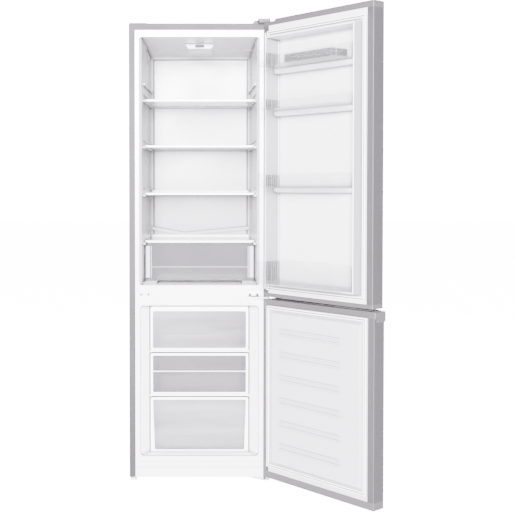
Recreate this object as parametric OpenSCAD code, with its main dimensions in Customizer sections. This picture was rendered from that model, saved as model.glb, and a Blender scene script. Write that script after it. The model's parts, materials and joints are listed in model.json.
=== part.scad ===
// Tall refrigerator over a three-drawer freezer, with two doors hinged on the right and standing open.
// The floor is z = 0, the cabinet's footprint is centred on x = 0, y = 0, and its front faces -y.

/* [Cabinet] */
// Outside width of the cabinet
cab_w = 550; // [540:5:600]
// Depth of the cabinet without its doors
cab_d = 500; // [495:5:540]
// Height of the cabinet's top above the floor
cab_top = 1800; // [1795:5:1850]
// Height of the cabinet's underside above the floor
base_z = 22; // [20:1:24]
// Thickness of the painted steel sheet
sheet_t = 0.8; // [0.6:0.1:1.2]
// Thickness of the moulded liners
liner_t = 2; // [1.8:0.1:2.4]
// Width of the steel flange round the front
flange_w = 24; // [22:1:26]
// Insulated wall at the front, from the outside to the inner space
wall_w = 48; // [47:1:50]
// Radius along the cabinet's top edges
top_r = 5; // [3:1:8]
// Height of the compressor space
bay_h = 226; // [220:2:232]
// Depth of the compressor space
bay_d = 195; // [190:1:198]

/* [Fridge space] */
// Height of the fridge floor above the ground
floor_z = 778; // [776:1:790]
// Insulated wall behind both inner spaces
rear_wall = 70; // [64:1:75]
// How much each side wall leans in towards the back
fridge_lean = 13; // [10:1:14]
// How far the ceiling falls towards the back
ceiling_fall = 24; // [20:1:28]
// Radius of the fridge space's rear corners
rear_r = 20; // [12:1:24]
// How far the shelf ribs stand out of the side walls
rib_w = 9; // [8:0.5:10]
// Height of the top shelf above the fridge floor
top_shelf_h = 735; // [700:5:745]
// Height of the middle shelf above the fridge floor
middle_shelf_h = 551; // [520:5:580]
// Height of the lower shelf above the fridge floor
lower_shelf_h = 360; // [340:5:380]
// Height of the crisper's cover above the fridge floor
cover_h = 168; // [160:1:180]
// Distance of the shelves' front edges behind the cabinet's front
shelf_y = 110; // [108:1:120]
// Thickness of the shelf glass
glass_t = 4; // [3:0.5:5]

/* [Freezer space] */
// Top of the freezer opening above the ground
freezer_top = 698; // [690:1:700]
// Bottom of the freezer opening above the ground
freezer_bot = 106; // [104:1:110]
// Width of the flare on both sides of the freezer opening
flare_w = 34; // [30:1:36]
// Height of the lower freezer plate above the ground
plate_1_z = 346; // [340:1:350]
// Height of the upper freezer plate above the ground
plate_2_z = 521; // [515:1:525]

/* [Doors] */
// Gap that the door seals fill, between cabinet and doors
seal_gap = 12; // [11:0.5:13]
// Thickness of the doors
leaf_t = 58; // [55:1:60]
// Radius of the doors' upright front edges
leaf_r = 5; // [3:1:10]
// Underside of the upper door above the ground
upper_bot = 738; // [736:1:740]
// Top of the lower door above the ground
lower_top = 727.5; // [726:0.5:728]
// Underside of the lower door above the ground
lower_bot = 31; // [30:0.5:32]
// How far the upper door's top stands above the cabinet's top
leaf_rise = 6; // [5:0.5:7]
// Opening angle of the upper door as it stands
upper_open = 130; // [0:5:130]
// Opening angle of the lower door as it stands
lower_open = 131; // [0:1:131]
// Depth of the door bins from the liner's face
bin_d = 125; // [110:1:127]
// Height of the top bin
top_bin_h = 62; // [58:1:64]
// Height of the middle bin
middle_bin_h = 47; // [45:1:52]
// Height of the lower bin
lower_bin_h = 52; // [46:1:60]
// Height of the bottle bin
bottle_bin_h = 84; // [80:1:90]
// Drop of the top bin below the cabinet's top
top_bin_drop = 187; // [180:1:192]
// Drop of the middle bin below the cabinet's top
middle_bin_drop = 348; // [340:1:380]
// Height of the lower bin above the upper door's underside
lower_bin_rise = 423; // [400:1:440]
// Wall thickness of the clear bins and drawers
clear_t = 2.5; // [2:0.1:3]

/* [Fits] */
// Radius of the hinge pins
pin_r = 4; // [3.5:0.1:4.5]
// Radial clearance of the hinge pins, feet and rollers in their bores
run_gap = 0.06; // [0.03:0.01:0.09]
// Gap under and beside the loose pieces
seat_gap = 0.3; // [0.2:0.05:0.5]

/* [Hidden] */
$fn = 64;
hw = cab_w / 2;
in_w = hw - flange_w;
bay_y = cab_d - bay_d;
bay_z = base_z + bay_h;
mid_back = cab_d - sheet_t;
fridge_w = hw - wall_w;
fridge_d = cab_d - rear_wall;
fridge_top = cab_top - 52;
knee_y = 140;
knee_fall = 3;
flange_z = floor_z - 18;
mouth_w = fridge_w + 9;
mouth_d = 14;
mouth_r = 12;
rail_z = floor_z + 8;
guard_h = 16;
back_y = fridge_d - 15;
drain_x = -70;
gutter_z = floor_z + 184;
gutter_rise = 26.6;
gutter_d = 12;
drain_z = gutter_z + 1.5;
drain_r = 3.5;
hose_y = fridge_d + 18;
hose_r = 9;
top_z = floor_z + top_shelf_h;
middle_z = floor_z + middle_shelf_h;
lower_z = floor_z + lower_shelf_h;
cover_z = floor_z + cover_h;
spare_z = fridge_top - 173;
box_y = 150;
box_top = ceiling(box_y);
box_bot = box_top - 20;
wheel_z = box_top - 11;
wheel_y = box_y + 17;
wheel_r = 24;
wheel_h = 7.6;
spindle_r = 3;
spindle_h = 14;
box_d = 100;
freezer_d = fridge_d;
freezer_w = fridge_w + 5;
flare_d = 25;
throat_w = freezer_w - flare_w;
freezer_lean = 6;
freezer_floor = freezer_bot + 12;
step_y = bay_y - 40;
step_z = bay_z + 42;
drawer_y = flare_d + 3;
drawer_back = freezer_d - 34;
plate_t = 10;
axis_x = hw - 9.5;
axis_y = -seal_gap - 11.5;
pin_in = 12;
leaf_back = -seal_gap;
leaf_front = -seal_gap - leaf_t;
upper_top = cab_top + leaf_rise;
rim_w = 28;
seal_w = 12;
upper_cap = 23;
under_cap = 16;
lower_cap = 23;
foot_cap = 28;
grip_h = 38;
grip_out = 5;
dyke_x = hw - 47;
dyke_y = 29;
pan_y = leaf_back - 18;
pan_x = hw - 62;
bin_x = pan_x - 10;
bin_y = pan_y + 1.3;
bin_front = pan_y + 1 + bin_d;
bin_1_z = cab_top - top_bin_drop;
bin_2_z = cab_top - middle_bin_drop;
bin_3_z = upper_bot + lower_bin_rise;
bin_4_z = floor_z + 22.2;
lug_z = 12;
lug_h = 22;
egg_z = bin_1_z + 2 * seat_gap + clear_t;
egg_top = egg_z + 30;
egg_x0 = -172;
egg_x1 = 68;
egg_d = 88;
cup_r = 24;
hinge_t = 3;
arm_z = (upper_bot + lower_top - hinge_t) / 2;
screw_r = 2.2;
top_screws = [[hw - 54, 16], [hw - 54, 50], [hw - 20, 50]];
middle_screws = [in_w - 53, in_w - 24];
bottom_screws = [[hw - 62, 18], [hw - 62, 54]];
stud_r = 5;
stud_in = 22;
foot_x = hw - 14;
foot_y = 40;
roller_x = hw - 50;
roller_y = cab_d - 30;
roller_r = 15;
tray_t = 1.5;
tray_z = base_z + 8;
tray_y = cab_d - 2;
inlet_x = -hw + 120;
inlet_z = base_z + 20;
comp_x = 0;
comp_y = cab_d - 100;
comp_z = base_z + 28;
comp_h = 134;
comp_r = 76;
ring_r = comp_r + 3;
stub_x = comp_r + 12;
stub_y = 30;
stub_z = comp_z + 78;
dish_z = comp_z + comp_h + seat_gap;
dish_w = 84;
dish_h = 22;
hood_h = 11.5;
coil_y = cab_d + 10;
coil_n = 20;
coil_z = bay_z + 40;
coil_p = (cab_top - 90 - coil_z) / (coil_n - 1);
coil_top = coil_z + (coil_n - 1) * coil_p;
coil_w = hw - 75;
tube_r = 2.5;

painted = [0.70, 0.70, 0.71];
white = [0.96, 0.96, 0.97];
grey = [0.58, 0.58, 0.60];
dark = [0.33, 0.33, 0.35];
clear = [0.86, 0.88, 0.90, 0.45];
foamy = [0.93, 0.88, 0.66];
metal = [0.72, 0.73, 0.75];
black = [0.09, 0.09, 0.10];
copper = [0.78, 0.47, 0.30];

function unit(v) = v / norm(v);
// Half width of the fridge space at depth y
function wall(y) = fridge_w - fridge_lean * y / fridge_d;
// Half width of the freezer space behind its flare at depth y
function side(y) = throat_w - freezer_lean * (y - flare_d) / (freezer_d - flare_d);
// Ceiling of the fridge space at depth y
function ceiling(y) = y < knee_y ? fridge_top - knee_fall * y / knee_y
    : fridge_top - knee_fall - (ceiling_fall - knee_fall) * (y - knee_y) / (fridge_d - knee_y);

// Outline whose corners carry the radii r: each corner is cut where its arc starts and a circle fills it
module soft(p, r) {
    n = len(p);
    function at(i) = p[(i + n) % n];
    function back(i) = unit(at(i - 1) - at(i));
    function on(i) = unit(at(i + 1) - at(i));
    function half(i) = acos(back(i) * on(i)) / 2;
    polygon([for (i = [0:n - 1]) each r[i] > 0
        ? [at(i) + back(i) * r[i] / tan(half(i)), at(i) + on(i) * r[i] / tan(half(i))] : [at(i)]]);
    for (i = [0:n - 1]) if (r[i] > 0)
        translate(at(i) + unit(back(i) + on(i)) * r[i] / sin(half(i))) circle(r[i]);
}

// Rectangle between two corners, with one radius
module plate(lo, hi, r = 0) {
    if (r > 0) soft([lo, [hi[0], lo[1]], hi, [lo[0], hi[1]]], [r, r, r, r]);
    else translate(lo) square(hi - lo);
}

// Symmetric outline, w0 half wide at y0 and w1 half wide at y1
module taper(w0, y0, w1, y1, r0 = 0, r1 = 0)
    soft([[-w0, y0], [w0, y0], [w1, y1], [-w1, y1]], [r0, r0, r1, r1]);

// Extrusions of an outline drawn in y and z, in x and z, and in x and y
module along_x(a, b) translate([a, 0, 0]) rotate([90, 0, 90]) linear_extrude(b - a) children();
module along_y(a, b) translate([0, b, 0]) rotate([90, 0, 0]) linear_extrude(b - a) children();
module along_z(a, b) translate([0, 0, a]) linear_extrude(b - a) children();
module span(lo, hi) translate(lo) cube(hi - lo);
module both_sides() { children(); mirror([1, 0, 0]) children(); }

// Moves what is measured from the cabinet's front plane to the cabinet's place
module placed() translate([0, -cab_d / 2, 0]) children();

// Swings a door, drawn shut, about the hinge line
module swung(a) placed() translate([axis_x, axis_y, 0]) rotate([0, 0, a])
    translate([-axis_x, -axis_y, 0]) children();

// Inner space of the fridge: its plan flares in front and leans in, its ceiling falls behind a knee
module fridge_space(g = 0, y0 = -1) intersection() {
    along_z(floor_z - 60, fridge_top + 60)
        soft([[-mouth_w - g + y0, y0], [mouth_w + g - y0, y0], [wall(mouth_d) + g, mouth_d],
            [wall(fridge_d) + g, fridge_d + g], [-wall(fridge_d) - g, fridge_d + g],
            [-wall(mouth_d) - g, mouth_d]], [0, 0, 0, rear_r + g, rear_r + g, 0]);
    along_x(-hw, hw)
        soft([[y0, floor_z - g], [fridge_d + g, floor_z - g], [fridge_d + g, ceiling(fridge_d) + g],
            [knee_y, ceiling(knee_y) + g], [y0, ceiling(y0) + g]], [0, 10 + g, rear_r + g, 0, 0]);
}

// Inner space of the freezer: flared mouth, and a step over the compressor
module freezer_space(g = 0, y0 = -1) intersection() {
    along_z(0, freezer_top + 60)
        soft([[-freezer_w - g + y0, y0], [freezer_w + g - y0, y0], [side(flare_d) + g, flare_d],
            [side(freezer_d) + g, freezer_d + g], [-side(freezer_d) - g, freezer_d + g],
            [-side(flare_d) - g, flare_d]], [0, 0, 0, 14 + g, 14 + g, 0]);
    along_x(-hw, hw)
        soft([[y0, freezer_bot + y0 / 2 - g], [flare_d, freezer_floor - g], [step_y + g, freezer_floor - g],
            [step_y + g, step_z - 35 - g], [step_y + 35 + g, step_z - g], [freezer_d + g, step_z - g],
            [freezer_d + g, freezer_top - 4 + g], [flare_d, freezer_top - 2 + g],
            [y0, freezer_top - y0 / 12 + g]], [0, 0, 8 + g, 0, 0, 8 + g, 14 + g, 0, 0]);
}

// Rib along both side walls of the fridge
module side_ribs(z0, z1, y0, w = rib_w) both_sides() along_z(z0, z1)
    polygon([[wall(y0) + 1, y0], [wall(y0) - w, y0 + w], [wall(back_y) - w, back_y],
        [wall(back_y) + 1, back_y]]);

// Outline inside the steel shell, from the height z0 up
module inside_shell(z0) taper(hw - sheet_t, z0, hw - sheet_t, cab_top - sheet_t, 0, top_r - sheet_t);

module cabinet_shell() color(painted) placed() {
    difference() {
        along_y(0, cab_d) taper(hw, base_z, hw, cab_top, 0, top_r);
        along_y(sheet_t, cab_d + 1) inside_shell(base_z - 1);
        span([-in_w, -1, base_z - 1], [in_w, sheet_t + 1, cab_top - flange_w - 2]);
    }
}

module cabinet_foam() color(foamy) placed() difference() {
    along_y(liner_t, mid_back) inside_shell(base_z + sheet_t);
    span([-hw, bay_y - sheet_t, 0], [hw, cab_d + 1, bay_z + sheet_t]);
    fridge_space(liner_t, 0);
    freezer_space(liner_t, 0);
    both_sides() translate([foot_x, foot_y, 0]) cylinder(r = stud_r + 0.5, h = base_z + stud_in + 8);
    hose_way(hose_r);
}

module back_panel() color(metal) placed() along_y(mid_back, cab_d) inside_shell(bay_z + sheet_t);

// Band across the back wall that dips to the drain, from z0 to z1 round the gutter's height
module gutter_band(z0, z1) {
    w = wall(fridge_d) + 3;
    end_z = gutter_z + gutter_rise;
    polygon([[-w, end_z + z0], [drain_x, gutter_z + z0], [w, end_z + z0], [w, end_z + z1],
        [drain_x, gutter_z + z1], [-w, end_z + z1]]);
}

module fridge_liner() color(white) placed() {
    difference() {
        union() {
            fridge_space(liner_t, 0);
            span([-in_w, 0, flange_z], [in_w, liner_t, cab_top - flange_w - 2]);
        }
        intersection() {
            fridge_space();
            along_y(-2, fridge_d + 1) plate([-mouth_w, floor_z], [mouth_w, fridge_top], mouth_r);
        }
        translate([drain_x, fridge_d - 2, drain_z]) rotate([-90, 0, 0]) cylinder(r = drain_r, h = 8);
    }
    for (z = [top_z, middle_z, lower_z, cover_z]) {
        side_ribs(z - glass_t - 7, z - glass_t - seat_gap, 60);
        if (z != cover_z) side_ribs(z + guard_h, z + guard_h + 6, 90, rib_w - 3);
    }
    side_ribs(spare_z - 7, spare_z, 60);
    both_sides() along_z(floor_z - 1, rail_z) polygon([[hw - 105, 50], [wall(50) + 1, 50],
        [wall(back_y) + 1, back_y], [hw - 105, back_y]]);
    intersection() {
        fridge_space(1, 0);
        union() {
            along_y(fridge_d - gutter_d, fridge_d + 2) gutter_band(-8, -3);
            along_y(fridge_d - gutter_d, fridge_d - gutter_d + 2) gutter_band(-8, 5);
        }
    }
}

module freezer_liner() color(white) placed() {
    difference() {
        union() {
            freezer_space(liner_t, 0);
            span([-in_w, 0, freezer_bot - 8], [in_w, liner_t, freezer_top + 6]);
        }
        intersection() {
            freezer_space();
            along_y(-2, freezer_d + 1)
                plate([-freezer_w, freezer_bot], [freezer_w, freezer_top], mouth_r);
        }
    }
    for (z = [plate_1_z, plate_2_z]) both_sides() along_z(z - plate_t - 8, z - plate_t - seat_gap)
        polygon([[side(45) + 1, 45], [side(45) - 7, 52], [side(400) - 7, 400], [side(400) + 1, 400]]);
}

module mullion_strip() color(white) placed() difference() {
    span([-in_w, 0, freezer_top + 6], [in_w, liner_t, flange_z]);
    span([in_w - 65 - seat_gap, -1, arm_z - seat_gap], [in_w - 10 + seat_gap, liner_t + 1, flange_z - 2]);
}

module kick_panel() color(white) placed() difference() {
    span([-in_w, 0, base_z], [in_w, liner_t, freezer_bot - 8]);
    for (g = [[34, 36], [40.5, 42], [61, 63]])
        span([-in_w + 12, -1, base_z + g[0]], [in_w - 12, 0.8, base_z + g[1]]);
}

// One bent sheet under the insulation, up the front of the compressor space and over it
module base_plate() color(metal) placed() difference() {
    along_x(-hw + sheet_t, hw - sheet_t) polygon([[liner_t, base_z], [bay_y, base_z], [bay_y, bay_z],
        [cab_d, bay_z], [cab_d, bay_z + sheet_t], [bay_y - sheet_t, bay_z + sheet_t],
        [bay_y - sheet_t, base_z + sheet_t], [liner_t, base_z + sheet_t]]);
    both_sides() translate([foot_x, foot_y, 0]) cylinder(r = stud_r + run_gap, h = base_z + 10);
    hose_way(hose_r);
}

module compressor_tray() color(metal) placed() difference() {
    union() {
        span([-hw + sheet_t, bay_y + 1, tray_z], [hw - sheet_t, tray_y, tray_z + tray_t]);
        span([-hw + sheet_t, tray_y - tray_t, tray_z], [hw - sheet_t, tray_y, tray_z + 24]);
        both_sides() span([hw - sheet_t - tray_t, bay_y + 1, tray_z], [hw - sheet_t, tray_y, tray_z + 24]);
        for (x = [roller_x - 12, roller_x + 10]) both_sides()
            span([x, roller_y - 10, 3], [x + 2, roller_y + 10, tray_z + 1]);
    }
    translate([-hw, roller_y, roller_r]) rotate([0, 90, 0]) cylinder(r = pin_r + run_gap, h = cab_w);
    both_sides()
        span([roller_x - 9.5, roller_y - 17, tray_z - 1], [roller_x + 9.5, roller_y + 17, tray_z + 3]);
    translate([inlet_x, tray_y + 1, inlet_z]) rotate([90, 0, 0]) cylinder(r = 8, h = 6);
}

module compressor() color(black) placed() translate([comp_x, comp_y, comp_z]) {
    rotate_extrude() soft([[0, 0], [comp_r - 14, 0], [comp_r, 26], [comp_r, comp_h - 50],
        [comp_r - 18, comp_h - 6], [0, comp_h]], [0, 14, 12, 24, 20, 0]);
    translate([0, 0, 54]) cylinder(r = ring_r, h = 4);
    along_z(-3, 0.5) plate([-92, -58], [92, 58], 12);
    for (out = [1, -1]) translate([out * (comp_r - 12), -out * stub_y, stub_z - comp_z])
        rotate([0, 90 * out, 0]) cylinder(r = 4, h = stub_x - comp_r + 12);
}

module compressor_mounts() color(dark) placed() for (x = [-78, 78], y = [-44, 44])
    translate([comp_x + x, comp_y + y, tray_z + tray_t]) cylinder(r = 11, h = comp_z - 3 - tray_z - tray_t);

module relay_box() color(black) placed() along_z(comp_z + 20, comp_z + 74) difference() {
    plate([comp_x - comp_r - 46, comp_y - 26], [comp_x - comp_r + 10, comp_y + 24], 5);
    translate([comp_x, comp_y]) circle(ring_r + seat_gap);
}

// Serpentine tube with upright wires laid against it, and tabs that reach the back panel
module condenser() color(black) placed() {
    for (i = [0:coil_n - 1]) {
        z = coil_z + i * coil_p;
        out = i % 2 == 0 ? 1 : -1;
        translate([-coil_w, coil_y, z]) rotate([0, 90, 0]) cylinder(r = tube_r, h = 2 * coil_w);
        if (i < coil_n - 1) translate([out * coil_w, coil_y, z + coil_p / 2])
            rotate([90, 0, 0]) rotate([0, 0, -90 * out])
                rotate_extrude(angle = 180) translate([coil_p / 2, 0]) circle(tube_r);
    }
    for (k = [0:21])
        translate([-coil_w + 6 + k * (2 * coil_w - 12) / 21, coil_y + tube_r + 1.35, coil_z - 12])
            cylinder(r = 1.3, h = coil_top - coil_z + 24);
    for (x = [-coil_w + 40, coil_w - 60], i = [1, coil_n - 2])
        span([x, cab_d, coil_z + i * coil_p - 6], [x + 20, coil_y, coil_z + i * coil_p + 6]);
}

// Pipe of radius r along the square route p, with bends of radius b
module pipe(p, r, b) {
    n = len(p) - 1;
    for (i = [0:n - 1]) {
        d = p[i + 1] - p[i];
        u = unit(d);
        a = p[i] + (i > 0 ? b * u : [0, 0, 0]);
        c = p[i + 1] - (i < n - 1 ? b * u : [0, 0, 0]);
        translate(a) rotate([0, acos(u[2]), atan2(u[1], u[0])]) cylinder(r = r, h = norm(c - a));
        if (i > 0) {
            v = unit(p[i] - p[i - 1]);
            w = cross(-u, v);
            o = p[i] + b * (u - v);
            multmatrix([[-u[0], v[0], w[0], o[0]], [-u[1], v[1], w[1], o[1]], [-u[2], v[2], w[2], o[2]]])
                rotate_extrude(angle = 90) translate([b, 0]) circle(r);
        }
    }
}
// Hot pipe up to the coil, cooled pipe down to the drier and on into the foam, and return pipe
module refrigerant_pipes() color(copper) placed() {
    up_x = -coil_w - coil_p / 2 - 14;
    down_x = -coil_w - 12;
    in_x = down_x + 24;
    dry_z = base_z + 118;
    pipe([[comp_x - stub_x, comp_y + stub_y, stub_z], [up_x, comp_y + stub_y, stub_z], [up_x, coil_y, stub_z],
        [up_x, coil_y, coil_top], [-coil_w, coil_y, coil_top]], tube_r, 9);
    pipe([[-coil_w, coil_y, coil_z], [down_x, coil_y, coil_z], [down_x, coil_y, dry_z]], tube_r, 9);
    translate([down_x, coil_y, dry_z - 75]) cylinder(r = 8, h = 75);
    pipe([[down_x, coil_y, dry_z - 75], [down_x, coil_y, dry_z - 89], [in_x, coil_y, dry_z - 89],
        [in_x, coil_y, bay_z - 20], [in_x, coil_y - 20, bay_z - 20], [in_x, coil_y - 20, bay_z]], 1.2, 6);
    pipe([[comp_x + stub_x, comp_y - stub_y, stub_z], [comp_x + stub_x + 42, comp_y - stub_y, stub_z],
        [comp_x + stub_x + 42, comp_y - stub_y, bay_z]], tube_r + 1, 12);
}

module evaporation_tray() color(black) placed() translate([comp_x, comp_y, dish_z]) difference() {
    along_z(0, dish_h) plate([-dish_w, -62], [dish_w, 66], 12);
    along_z(clear_t, dish_h + 1)
        plate([-dish_w + clear_t, -62 + clear_t], [dish_w - clear_t, 66 - clear_t], 12 - clear_t);
}

// Bent way of the drain hose, from behind the fridge liner down into the compressor space
module hose_way(r, more = 0) {
    y0 = fridge_d + liner_t - more;
    z0 = bay_z - 15 - more;
    translate([drain_x, hose_y, z0]) cylinder(r = r, h = drain_z - z0);
    translate([drain_x, y0, drain_z]) rotate([-90, 0, 0]) cylinder(r = r, h = hose_y - y0);
    translate([drain_x, hose_y, drain_z]) sphere(r);
}
module drain_hose() color(dark) placed() difference() {
    hose_way(hose_r);
    hose_way(hose_r - 2, 1);
}

// Gland for the mains lead, in the tray's rear edge
module mains_inlet() color(black) placed() translate([inlet_x, tray_y, inlet_z]) rotate([-90, 0, 0])
    difference() {
        union() {
            cylinder(r = 12, h = 8);
            translate([0, 0, -14]) cylinder(r = 7.7, h = 15);
        }
        translate([0, 0, -15]) cylinder(r = 4, h = 24);
    }

// White evaporator plates that carry the freezer drawers
module freezer_plates() color(white) placed() for (z = [plate_1_z, plate_2_z]) {
    y0 = 34;
    y1 = freezer_d - 28;
    along_z(z - 4, z) taper(side(y0) - 1, y0, side(y1) - 1, y1);
    span([-side(y0) + 1, y0 - 6, z - plate_t], [side(y0) - 1, y0, z]);
    both_sides() along_z(z - plate_t, z - 3.9) polygon([[side(y0) - 12, y0 - 0.1], [side(y0) - 1, y0 - 0.1],
        [side(y1) - 1, y1], [side(y1) - 4, y1]]);
    for (y = [70:60:370]) span([-side(y1) + 25, y, z - plate_t + 1], [side(y1) - 25, y + 8, z - 3.9]);
}

// Solid of the control housing or the lamp cover: outline in x and z, cut off under the sloping ceiling
module under_ceiling(y0, y1, w0, w1, z0) intersection() {
    along_y(y0, y1) taper(w0, z0, w1, box_top + 9);
    along_x(-70, 70) polygon([[y0 - 1, z0 - 1], [y1 + 1, z0 - 1], [y1 + 1, ceiling(y1 + 1) - seat_gap],
        [y0 - 1, ceiling(y0 - 1) - seat_gap]]);
}
module control_housing() color(white) placed() difference() {
    under_ceiling(box_y, box_y + box_d, 48, 63, box_bot);
    translate([0, wheel_y, wheel_z - wheel_h / 2 - 0.7]) cylinder(r = wheel_r + 0.8, h = wheel_h + 1.4);
    translate([0, wheel_y, wheel_z - spindle_h / 2 - seat_gap])
        cylinder(r = spindle_r + run_gap, h = spindle_h + 2 * seat_gap);
}

module thermostat_wheel() color(grey) placed() translate([0, wheel_y, wheel_z]) {
    difference() {
        translate([0, 0, -wheel_h / 2]) cylinder(r = wheel_r, h = wheel_h);
        for (a = [0:15:345]) rotate(a) translate([wheel_r + 0.6, 0, -wheel_h])
            cylinder(r = 1.6, h = 2 * wheel_h);
    }
    translate([0, 0, -spindle_h / 2]) cylinder(r = spindle_r, h = spindle_h);
}

// Clear cover behind the control housing, hollow above
module lamp_lens() color(clear) placed() {
    y0 = box_y + box_d;
    difference() {
        under_ceiling(y0, y0 + 85, 48, 58, box_bot - 4);
        under_ceiling(y0 + 2, y0 + 83, 46, 56, box_bot - 2);
        translate([0, 0, 9]) under_ceiling(y0 + 2, y0 + 83, 46, 56, box_bot + 8);
    }
}

module screw_holes(p, z)
    for (q = p) translate([q[0], q[1], z - 1]) cylinder(r = screw_r + 0.3, h = hinge_t + 2);

module top_hinge() color(metal) placed() {
    difference() {
        along_z(cab_top, cab_top + hinge_t) union() {
            plate([hw - 61, 6], [hw - 6, 62], 4);
            plate([axis_x - 35, axis_y - 16], [hw - 3.5, 16], 4);
        }
        screw_holes(top_screws, cab_top);
    }
    translate([axis_x, axis_y, cab_top - pin_in]) cylinder(r = pin_r, h = pin_in + 1);
}

// Box round the top hinge, sloped at its inner end; g shrinks it to its hollow
module hinge_box(g = 0) intersection() {
    along_z(cab_top - g, cab_top + hood_h - g) union() {
        plate([hw - 67 + g, g], [hw - 0.5 - g, 68 - g], 5 - g);
        plate([axis_x - 38 + g, axis_y - 19 + g], [hw - 0.5 - g, 14], 5 - g);
    }
    along_y(-60, 70) polygon([[hw - 67 + g, cab_top - g], [hw, cab_top - g], [hw, cab_top + hood_h],
        [hw - 59 + g, cab_top + hood_h]]);
}
module top_hinge_cover() color(dark) placed() difference() {
    hinge_box();
    hinge_box(2);
}

module middle_hinge() color(white) placed() {
    difference() {
        span([in_w - 65, 0, arm_z], [in_w - 10, liner_t, flange_z - 3]);
        for (x = middle_screws) translate([x, -1, arm_z + 11]) rotate([-90, 0, 0])
            cylinder(r = screw_r + 0.3, h = liner_t + 2);
    }
    along_z(arm_z, arm_z + hinge_t) soft([[in_w - 65, 0], [in_w - 65, -6], [axis_x - 12, axis_y - 12],
        [hw - 1, axis_y - 12], [hw - 1, 0]], [0, 3, 8, 8, 0]);
    translate([axis_x, axis_y, lower_top - pin_in])
        cylinder(r = pin_r, h = upper_bot - lower_top + 2 * pin_in);
    translate([axis_x, axis_y, arm_z + 1]) cylinder(r = pin_r + 4, h = upper_bot - seat_gap - arm_z - 1);
}

module bottom_hinge() color(metal) placed() difference() {
    union() {
        along_z(base_z - hinge_t, base_z) soft([[hw - 75, 64], [hw - 75, 6], [axis_x - 14, axis_y - 12],
            [hw - 2, axis_y - 12], [hw - 2, 64]], [4, 4, 8, 8, 4]);
        translate([axis_x, axis_y, base_z - 1]) {
            cylinder(r = pin_r, h = lower_bot + pin_in - base_z + 1);
            cylinder(r = pin_r + 4, h = lower_bot - seat_gap - base_z + 1);
        }
    }
    translate([foot_x, foot_y, base_z - 4]) cylinder(r = stud_r + run_gap, h = 5);
    screw_holes(bottom_screws, base_z - hinge_t);
}

// Flat cap over the unused hinge place at the top left, and two plugs in the strip between the spaces
module blanking_caps() color(grey) placed() {
    along_z(cab_top, cab_top + 3) plate([-hw + 2, 3], [-hw + 70, 60], 4);
    for (x = [-hw + 47, -hw + 76]) translate([x, 0, arm_z + 11]) rotate([90, 0, 0]) cylinder(r = 5, h = 1.5);
}

module screw() {
    cylinder(r = 5, h = 2.6);
    translate([0, 0, -12]) cylinder(r = screw_r, h = 12.5);
}
module hinge_screws() color(metal) placed() {
    for (p = top_screws) translate([p[0], p[1], cab_top + hinge_t]) screw();
    for (x = middle_screws) translate([x, 0, arm_z + 11]) rotate([90, 0, 0]) screw();
    for (p = bottom_screws) translate([p[0], p[1], base_z - hinge_t]) rotate([180, 0, 0]) screw();
}

module foot() {
    difference() {
        cylinder(r = 13, h = 9);
        for (a = [0:45:315]) rotate(a) translate([14.5, 0, 3]) cylinder(r = 2.6, h = 7);
    }
    cylinder(r = stud_r, h = base_z + stud_in);
}
module left_foot() color(white) placed() translate([-foot_x, foot_y, 0]) foot();
module right_foot() color(white) placed() translate([foot_x, foot_y, 0]) foot();

module roller() rotate([0, 90, 0]) {
    translate([0, 0, -9]) cylinder(r = roller_r, h = 18);
    translate([0, 0, -13]) cylinder(r = pin_r, h = 26);
}
module left_roller() color(black) placed() translate([-roller_x, roller_y, roller_r]) roller();
module right_roller() color(black) placed() translate([roller_x, roller_y, roller_r]) roller();

// Shelf: glass cut to the leaning walls, with a trim in front and a raised one behind
module shelf_glass(z) along_z(z - glass_t, z)
    taper(wall(shelf_y) - 3, shelf_y + 6, wall(back_y) - 3, back_y - 5);
module shelf_trim(z) {
    z0 = z - glass_t;
    w0 = wall(shelf_y) - 3;
    w1 = wall(back_y) - 3;
    difference() {
        union() {
            along_x(-w0, w0) soft([[shelf_y, z0], [shelf_y + 18, z0], [shelf_y + 18, z + 2.5],
                [shelf_y, z + 2.5]], [0, 0, 1, 2]);
            along_x(-w0 + rib_w + 3, w0 - rib_w - 3) plate([shelf_y, z0 - 1.5], [shelf_y + 18, z0]);
            along_x(-w1, w1) soft([[back_y - 14, z0], [back_y, z0], [back_y, z + 12], [back_y - 5, z + 12],
                [back_y - 14, z + 2.5]], [0, 0, 2, 2, 0]);
            along_x(-w1 + rib_w + 3, w1 - rib_w - 3) plate([back_y - 14, z0 - 2], [back_y, z0]);
        }
        shelf_glass(z);
    }
}
module top_shelf_glass() color(clear) placed() shelf_glass(top_z);
module top_shelf_trim() color(white) placed() shelf_trim(top_z);
module middle_shelf_glass() color(clear) placed() shelf_glass(middle_z);
module middle_shelf_trim() color(white) placed() shelf_trim(middle_z);
module lower_shelf_glass() color(clear) placed() shelf_glass(lower_z);
module lower_shelf_trim() color(white) placed() shelf_trim(lower_z);
module crisper_cover_glass() color(clear) placed() shelf_glass(cover_z);
module crisper_cover_trim() color(white) placed() shelf_trim(cover_z);

// Open box with straight walls t thick, w0 half wide in front and w1 behind
module open_box(w0, y0, w1, y1, z0, z1, r0, r1, t) difference() {
    along_z(z0, z1) taper(w0, y0, w1, y1, r0, r1);
    along_z(z0 + t, z1 + 1) taper(w0 - t, y0 + t, w1 - t, y1 - t, max(r0 - t, 1), r1 - t);
}

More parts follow.
